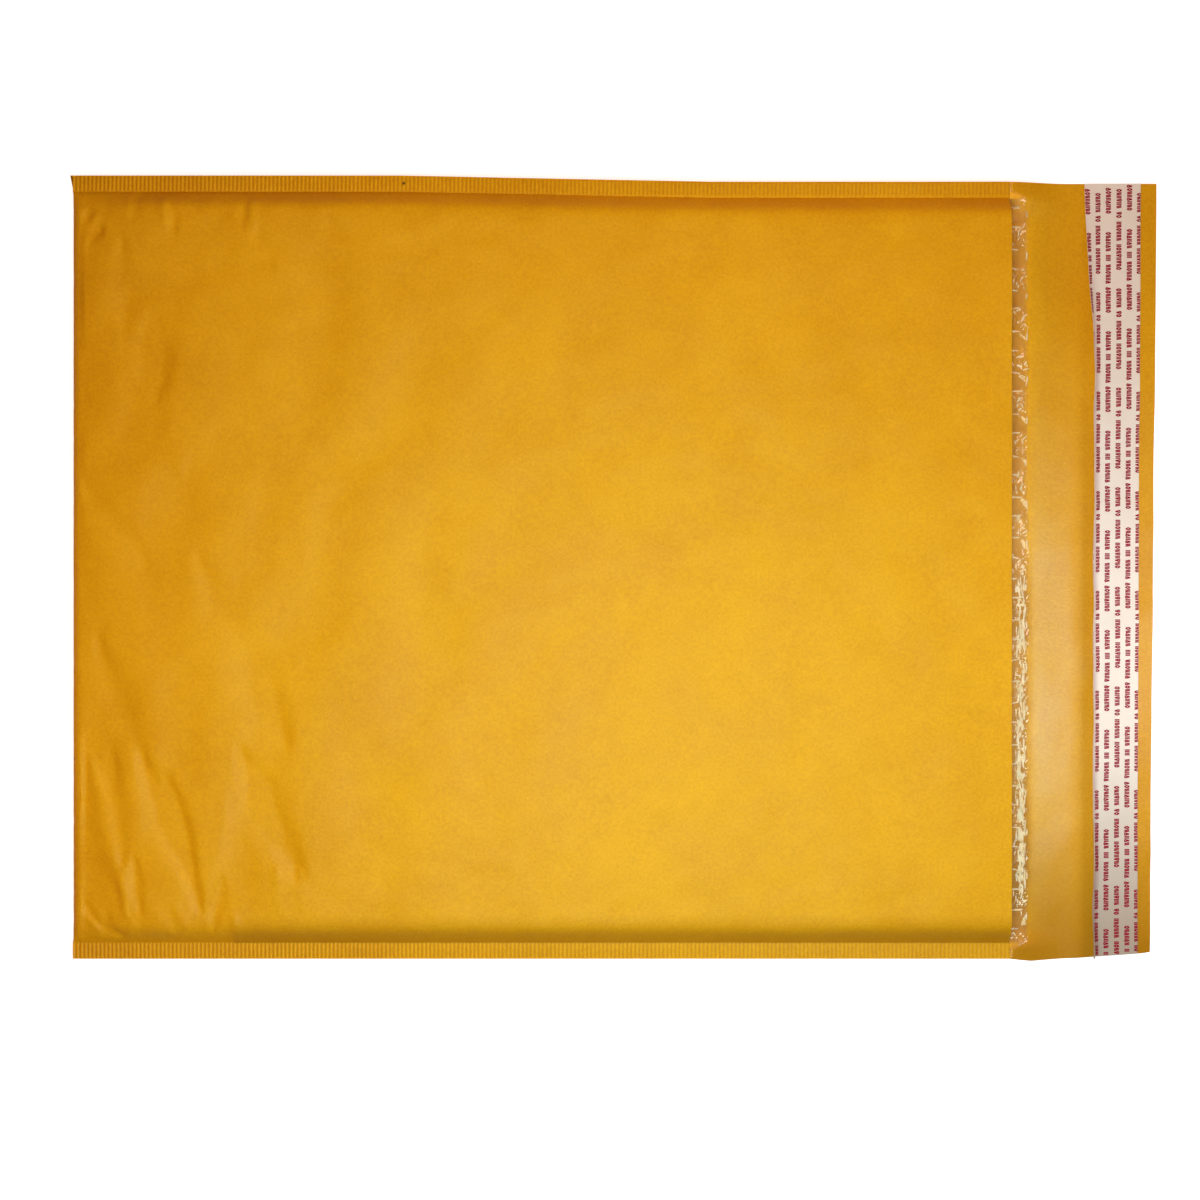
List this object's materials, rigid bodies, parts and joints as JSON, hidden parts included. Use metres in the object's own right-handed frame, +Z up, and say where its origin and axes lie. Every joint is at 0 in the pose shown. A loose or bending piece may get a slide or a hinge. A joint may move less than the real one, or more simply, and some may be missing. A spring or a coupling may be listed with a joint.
{
  "type": "bubble mailer",
  "caption": "Flat padded kraft paper mailer with crimped side seams, a folded bubble film lining, an open mouth and a sealing flap with glue under a peel-off strip.",
  "frame": {"origin": "under the middle of the mailer, at the height of the surface that it lies on", "axes": "+X from the closed end towards the flap, +Y across the mailer, +Z up out of the front panel"},
  "size_m": [0.5025, 0.3628, 0.0142],
  "materials": {
    "kraft_paper": "golden kraft, slightly calendered",
    "bubble_film": "clear polyethylene bubble film",
    "glue": "clear yellowish hot-melt glue",
    "release_paper": "silicone-coated release paper with red marks"
  },
  "bodies": {
    "root": {"kraft_envelope": "kraft_paper", "bubble_liner": "bubble_film", "adhesive_strip": "glue", "release_liner": "release_paper"}
  },
  "joints": []
}
